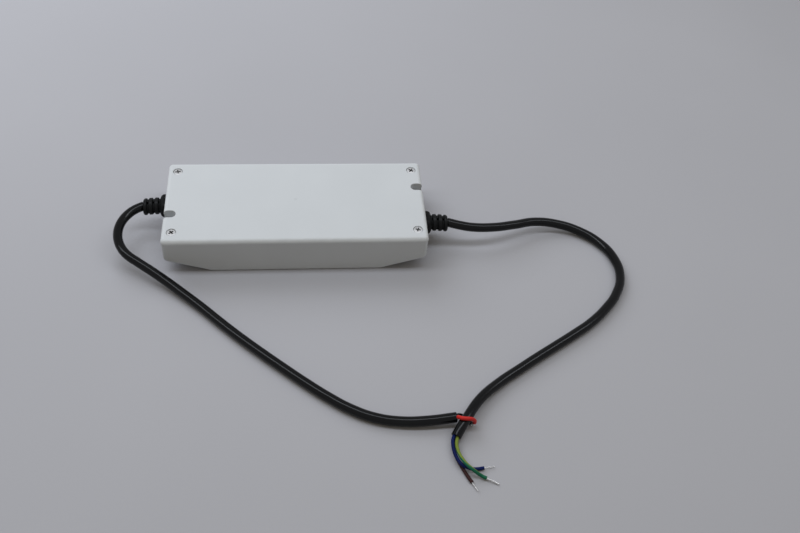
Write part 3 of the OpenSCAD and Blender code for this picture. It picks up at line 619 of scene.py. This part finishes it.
# %% [markdown]
# ## The glands
# A gland is one rubber moulding: a domed flange against the wall, a boot with three ribs, and a neck and
# collar inside. The flange is a rounded plate that is extruded and drawn in step by step, as a dome. The
# boot is spun, and small windows between the ribs are pushed in, so that it can flex. At the end the boot
# is bent a little towards the floor, as its cable pulls it. Each point stores how near it is to a rib's
# crest, and the finish reads that number to show the crests rubbed smooth.

# %% Gland
gland_finish = grained("gland_rubber", ((0.0040, 0.0045, 0.0047), (0.0070, 0.0077, 0.0080)),
                       (0.42, 0.58), 1400, 0.02, specular=0.14)
crest_mask = add_node(gland_finish, "Attribute")
crest_mask.attribute_name = "crest"
blend_over(gland_finish, crest_mask, "Fac", (0.010, 0.0105, 0.011), 0.36)


flange_l, flange_h = 16, 12.8
dome = ((2.4, 0), (3.1, 0.12), (3.7, 0.42), (4.2, 0.85), (4.6, 1.4), (4.85, 1.95), (5, 2.6))


def domed_flange():
    shape = bmesh.new()
    plate = bmesh.ops.create_grid(shape, x_segments=1, y_segments=1, size=0.5)["verts"]
    bmesh.ops.scale(shape, vec=(flange_l * mm, flange_h * mm, 1), verts=plate)
    bmesh.ops.bevel(shape, geom=plate, offset=4.5 * mm, offset_type="OFFSET", segments=8, profile=0.5,
                    affect="VERTICES", clamp_overlap=True, material=-1)
    shape.faces.ensure_lookup_table()
    face = shape.faces[0]
    level, inset = 0, 0
    for new_level, new_inset in dome:
        grown = bmesh.ops.extrude_face_region(shape, geom=[face])["geom"]
        if level and face.is_valid:
            bmesh.ops.delete(shape, geom=[face], context="FACES_ONLY")
        face = next(item for item in grown if isinstance(item, bmesh.types.BMFace))
        narrow = (flange_l - 2 * new_inset) / (flange_l - 2 * inset)
        low = (flange_h - 2 * new_inset) / (flange_h - 2 * inset)
        bmesh.ops.scale(shape, vec=(narrow, low, 1), verts=face.verts)
        bmesh.ops.translate(shape, vec=(0, 0, (new_level - level) * mm), verts=face.verts)
        level, inset = new_level, new_inset
    bmesh.ops.recalc_face_normals(shape, faces=shape.faces)
    return shape


bore, groove, rib = 3.1, 5.1, 6.1  # radii of the boot


def ribbed_boot():
    section = [(bore, 3.5), (groove, 3.5), (groove, 5.1), (groove, 5.9)]
    for low in (6, 10.1, 14.2):
        section += [(groove + 0.1, low), (rib - 0.5, low + 0.05), (rib - 0.12, low + 0.3), (rib, low + 0.75)]
        if low < 14:
            section += [(rib, low + 2.05), (rib - 0.12, low + 2.5), (rib - 0.5, low + 2.75),
                        (groove + 0.1, low + 2.8), (groove, low + 2.9), (groove, low + 4)]
    section += [(rib, 15.5), (rib - 0.2, 16.1), (rib - 0.7, 16.65), (rib - 1.5, 16.95), (4.1, 17),
                (3.6, 16.8), (bore, 16.2), (bore, 3.5)]
    return turned(section, 48)


def push_in_windows(shape, out):
    """Sinks a small window every quarter turn of each groove. The first one faces up and to the front."""
    ways = [Vector((-out * cos(radians(turn)), sin(radians(turn)))) for turn in (70, 160, 250, 340)]
    window = []
    for face in shape.faces:
        middle = face.calc_center_median()
        flat = middle.to_2d()
        if abs(flat.length / mm - groove) < 0.06 and middle.z > 5.2 * mm:
            if max(flat.normalized().dot(way) for way in ways) > cos(radians(12)):
                window.append(face)
    grown = bmesh.ops.extrude_face_region(shape, geom=window)["geom"]
    stale = [face for face in window if face.is_valid]
    if stale:
        bmesh.ops.delete(shape, geom=stale, context="FACES_ONLY")
    sunk = [item for item in grown if isinstance(item, bmesh.types.BMVert)]
    bmesh.ops.scale(shape, vec=(0.7, 0.7, 1), verts=sunk)
    bmesh.ops.recalc_face_normals(shape, faces=shape.faces)
    return len(window)


def neck_and_collar():
    shape = turned([(bore, 0.5), (4.9, 0.5), (4.9, -2.2), (5.9, -2.2), (6.2, -2.5), (6.2, -4.2),
                    (bore, -4.2), (bore, 0.5)], 48)
    bmesh.ops.bisect_plane(shape, geom=shape.verts[:] + shape.edges[:] + shape.faces[:], dist=1e-7,
                           plane_co=(0, -5.6 * mm, 0), plane_no=(0, -1, 0), clear_outer=True)
    bmesh.ops.holes_fill(shape, edges=[edge for edge in shape.edges if edge.is_boundary])
    bmesh.ops.recalc_face_normals(shape, faces=shape.faces)
    return shape


wall_x = 92.2


def gland(name, out, y, node):
    """out: 1 for the right end of the case, -1 for the left one."""
    boot = ribbed_boot()
    windows = push_in_windows(boot, out)
    shape = joined([domed_flange(), boot, neck_and_collar()])
    axes = Matrix(((0, 0, out, 0), (out, 0, 0, 0), (0, 1, 0, 0), (0, 0, 0, 1)))
    crest = shape.verts.layers.float.new("crest")
    for vert in shape.verts:
        on_boot = vert.co.z > 5.5 * mm
        vert[crest] = min(1, max(0, (vert.co.to_2d().length / mm - rib + 0.5) / 0.5)) if on_boot else 0
        reach = max(0, vert.co.z / mm - 5) / 12
        vert.co += reach ** 2 * Vector((-0.8 * out, -0.4, 0)) * mm
    place = Matrix.Translation((out * wall_x * mm, y * mm, gland_z * mm))
    bmesh.ops.transform(shape, matrix=place @ axes, verts=shape.verts)
    print(name, "windows:", windows, "faces:", len(shape.faces))
    return add_piece(name, to_mesh(shape, name, gland_finish), "gland_rubber", node)


gland("input_strain_relief", 1, input_y, "input_gland")
gland("output_strain_relief", -1, output_y, "output_gland")

# %% [markdown]
# ## Inside the case
# The board and its parts are hidden under the cover, but whoever opens the model should find them
# finished. The CAD solids have the right shapes, so they only get finishes. Some need more than grain:
# windings show their turns, the board its copper tracks and the heatsinks the lines of their extrusion.
# Legs, fuse caps, tabs and can tops are metal but belong to the same solid as the body, so the finish
# tells them apart by place.

# %% Patterned inner finishes
def banded(name, tones, gloss, bands, depth, direction, metallic=0.0):
    """Adds fine parallel ridges, such as turns of wire, to a grained finish."""
    material = grained(name, tones, gloss, 1500, depth, metallic=metallic)
    nodes = material.node_tree.nodes
    wave = add_node(material, "TexWave", Scale=bands, Distortion=0.6, Detail=1.0)
    wave.bands_direction = direction
    wire(material, nodes["Mapping"], "Vector", wave, "Vector")
    wire(material, wave, "Fac", nodes["Bump"], "Height")
    wire(material, wave, "Fac", nodes["Color Ramp"], "Fac")
    return material


def board_laminate():
    material = grained("board_laminate", ((0.010, 0.075, 0.030), (0.018, 0.115, 0.045)),
                       (0.3, 0.45), 1200, 0.02)
    nodes = material.node_tree.nodes
    tracks = add_node(material, "TexBrick", Scale=70, Mortar_Size=0.03, Mortar_Smooth=0.2)
    tracks.inputs["Color1"].default_value = (0.012, 0.085, 0.034, 1)
    tracks.inputs["Color2"].default_value = (0.017, 0.105, 0.042, 1)
    tracks.inputs["Mortar"].default_value = (0.035, 0.17, 0.075, 1)
    wire(material, nodes["Mapping"], "Vector", tracks, "Vector")
    wire(material, tracks, "Color", nodes["Principled BSDF"], "Base Color")
    wire(material, tracks, "Fac", nodes["Bump"], "Height")
    return material


def with_metal(material, axis, low, high):
    """Turns a finish into tinned metal outside a range, in mm, along one axis."""
    split = add_node(material, "SeparateXYZ")
    wire(material, material.node_tree.nodes["Texture Coordinate"], "Object", split, "Vector")
    tests = []
    for operation, limit in (("LESS_THAN", low), ("GREATER_THAN", high)):
        test = add_node(material, "Math")
        test.operation = operation
        test.inputs[1].default_value = limit * mm
        wire(material, split, axis, test, 0)
        tests.append(test)
    metal = combine(material, "MAXIMUM", tests[0], "Value", tests[1], "Value")
    blend_over(material, metal, "Value", (0.66, 0.65, 0.63), 0.3)
    wire(material, metal, "Value", material.node_tree.nodes["Principled BSDF"], "Metallic")
    return material


def black_moulding(name):
    return grained(name, ((0.012, 0.012, 0.013), (0.022, 0.022, 0.024)), (0.4, 0.6), 2000, 0.03)


def can_sleeve(name):
    return grained(name, ((0.012, 0.014, 0.022), (0.020, 0.024, 0.036)), (0.2, 0.35), 700, 0.02)


copper_finish = banded("enamelled_copper", ((0.40, 0.12, 0.04), (0.62, 0.24, 0.09)),
                       (0.25, 0.4), 550, 0.25, "Y", 1.0)
tape_finish = banded("winding_tape", ((0.62, 0.42, 0.05), (0.74, 0.52, 0.09)), (0.3, 0.45), 60, 0.05, "Z")
sink_finish = grained("extruded_aluminium", ((0.60, 0.61, 0.62), (0.74, 0.75, 0.76)),
                      (0.28, 0.5), 900, 0.03, stretch=(1, 1, 12), metallic=1.0)
ferrite_finish = grained("ferrite", ((0.030, 0.031, 0.034), (0.060, 0.061, 0.065)), (0.45, 0.7), 2200, 0.05)
moulding_finish = black_moulding("black_moulding")
print("finishes so far:", len(bpy.data.materials))

# %% Finishes for the inner parts
# Levels and ranges in mm that part each body from its metal. The value "never" lies past every part.
leg_top, chip_foot, device_foot, device_top, can_top, never = 9.3, 8.1, 10.2, 19.2, 23.65, 100
fuse_body, resistor_body, lying_body = (8, 18), (14.65, 22.65), (-16.9, 13.95)
ceramic = grained("fuse_ceramic", ((0.70, 0.68, 0.62), (0.80, 0.78, 0.73)), (0.25, 0.4), 1600, 0.02)
coating = grained("resistor_coating", ((0.20, 0.33, 0.45), (0.27, 0.42, 0.55)), (0.35, 0.5), 1500, 0.03)
blue_coat = grained("blue_coating", ((0.020, 0.075, 0.30), (0.035, 0.11, 0.40)), (0.18, 0.32), 500, 0.05)
green_coat = grained("green_coating", ((0.030, 0.085, 0.040), (0.050, 0.12, 0.060)), (0.35, 0.5), 900, 0.05)
fuse_finish = with_metal(ceramic, "Y", *fuse_body)
resistor_finish = with_metal(coating, "Y", *resistor_body)
blue_disc = with_metal(blue_coat, "Z", leg_top, never)
green_disc = with_metal(green_coat, "Z", leg_top, never)
bridge_finish = with_metal(black_moulding("bridge_moulding"), "Z", device_foot, never)
device_finish = with_metal(black_moulding("tabbed_moulding"), "Z", device_foot, device_top)
chip_finish = with_metal(black_moulding("chip_moulding"), "Z", chip_foot, never)
lying_can = with_metal(can_sleeve("lying_can_sleeve"), "X", *lying_body)
upright_can = with_metal(can_sleeve("upright_can_sleeve"), "Z", -never, can_top)
yellow_box = grained("yellow_case", ((0.62, 0.44, 0.04), (0.72, 0.52, 0.07)), (0.3, 0.45), 1200, 0.02)
red_box = grained("red_case", ((0.30, 0.030, 0.015), (0.42, 0.050, 0.025)), (0.18, 0.32), 500, 0.05)
laminate_finish = board_laminate()
inner_finishes = {
    laminate_finish: "circuit_board", screw_finish: "board_screws clamp_screws",
    brown_finish: "input_leads", red_finish: "output_leads", fuse_finish: "fuse",
    blue_disc: "varistor y_capacitors",
    green_disc: "inrush_thermistor", yellow_box: "x_capacitor", red_box: "film_capacitor",
    ferrite_finish: "choke_core pfc_core transformer_core output_choke", copper_finish: "choke_windings",
    tape_finish: "pfc_winding transformer_winding", sink_finish: "primary_heatsink secondary_heatsink",
    moulding_finish: "pfc_bobbin transformer_bobbin", bridge_finish: "bridge_rectifier",
    device_finish: "switch_transistor output_diode", chip_finish: "optocoupler control_chips",
    lying_can: "bulk_capacitor", upright_can: "output_capacitors", resistor_finish: "sense_resistors",
}
dressed = 0
for finish, names in inner_finishes.items():
    for node in names.split():
        for slot in frame["nodes"][node].material_slots:
            slot.material = finish
            dressed += 1
print("inner parts dressed:", dressed)

# %% [markdown]
# ## The floor and the light
# The floor is a plain pale grey sheet that melts into the backdrop far from the object. A long, narrow
# lamp hangs overhead and draws the thin light line on the round cables. A broad one stands behind on the
# left: it makes the cover bright, keeps the front in its own shade and lays a soft shadow before it. It
# is hidden from glossy rays, or it would draw a second, wide band on the cables. The world gives a weak,
# even fill, and the camera and the glossy surfaces see a pale backdrop in its place.

# %% Stage
floor_finish = grained("floor_paper", ((0.408, 0.408, 0.438), (0.428, 0.428, 0.459)),
                       (0.6, 0.75), 700, 0.02, broad=3)
backdrop_tone = (0.42, 0.42, 0.44, 1)


def melts_into_backdrop(material, start, end):
    """Turns the sheet into the backdrop's own tone between two distances, in metres."""
    nodes = material.node_tree.nodes
    far = add_node(material, "VectorMath")
    far.operation = "LENGTH"
    mask = add_node(material, "MapRange", From_Min=start, From_Max=end)
    glow = add_node(material, "Emission", Color=backdrop_tone)
    either = add_node(material, "MixShader")
    wire(material, nodes["Texture Coordinate"], "Object", far, "Vector")
    wire(material, far, "Value", mask, "Value")
    wire(material, mask, "Result", either, 0)
    wire(material, nodes["Principled BSDF"], "BSDF", either, 1)
    wire(material, glow, "Emission", either, 2)
    wire(material, either, "Shader", nodes["Material Output"], "Surface")


melts_into_backdrop(floor_finish, 0.9, 2.2)
sheet = bmesh.new()
bmesh.ops.create_grid(sheet, x_segments=1, y_segments=1, size=3)
floor = bpy.data.objects.new("floor", to_mesh(sheet, "floor", floor_finish))
bpy.context.scene.collection.objects.link(floor)


def softbox(name, place, aim, size, power, tint):
    """size: the lamp's length and depth in metres."""
    lamp_data = bpy.data.lights.new(name, "AREA")
    lamp_data.shape = "RECTANGLE"
    lamp_data.size, lamp_data.size_y = size
    lamp_data.energy = power
    lamp_data.color = tint
    lamp = bpy.data.objects.new(name, lamp_data)
    bpy.context.scene.collection.objects.link(lamp)
    direction = Vector(aim) - Vector(place)
    lamp.matrix_world = Matrix.Translation(place) @ direction.to_track_quat("-Z", "Y").to_matrix().to_4x4()
    print(name, "lamp:", power, "W")
    return lamp


daylight = (0.88, 0.93, 1)
softbox("tube", (0.02, 0.02, 1.25), (0.02, 0.02, 0), (2.8, 0.26), 10.1, daylight)
back = softbox("back", (-0.45, 0.75, 0.75), (0, 0, 0), (1.0, 0.8), 8.2, daylight)
back.visible_glossy = False
world = bpy.data.worlds.new("studio")
world.use_nodes = True
bpy.context.scene.world = world
nodes, links = world.node_tree.nodes, world.node_tree.links
fill = nodes["Background"]
fill.inputs["Color"].default_value = (0.27, 0.247, 0.2, 1)
backdrop = nodes.new("ShaderNodeBackground")
backdrop.inputs["Color"].default_value = backdrop_tone
ray, either = nodes.new("ShaderNodeLightPath"), nodes.new("ShaderNodeMixShader")
seen = ray.outputs["Is Camera Ray"]
for kind in ("Is Glossy Ray", "Is Transmission Ray"):
    more = nodes.new("ShaderNodeMath")
    more.operation = "MAXIMUM"
    links.new(seen, more.inputs[0])
    links.new(ray.outputs[kind], more.inputs[1])
    seen = more.outputs["Value"]
links.new(seen, either.inputs[0])
links.new(fill.outputs["Background"], either.inputs[1])
links.new(backdrop.outputs["Background"], either.inputs[2])
links.new(either.outputs["Shader"], nodes["World Output"].inputs["Surface"])
bpy.context.scene.view_settings.view_transform = "Standard"
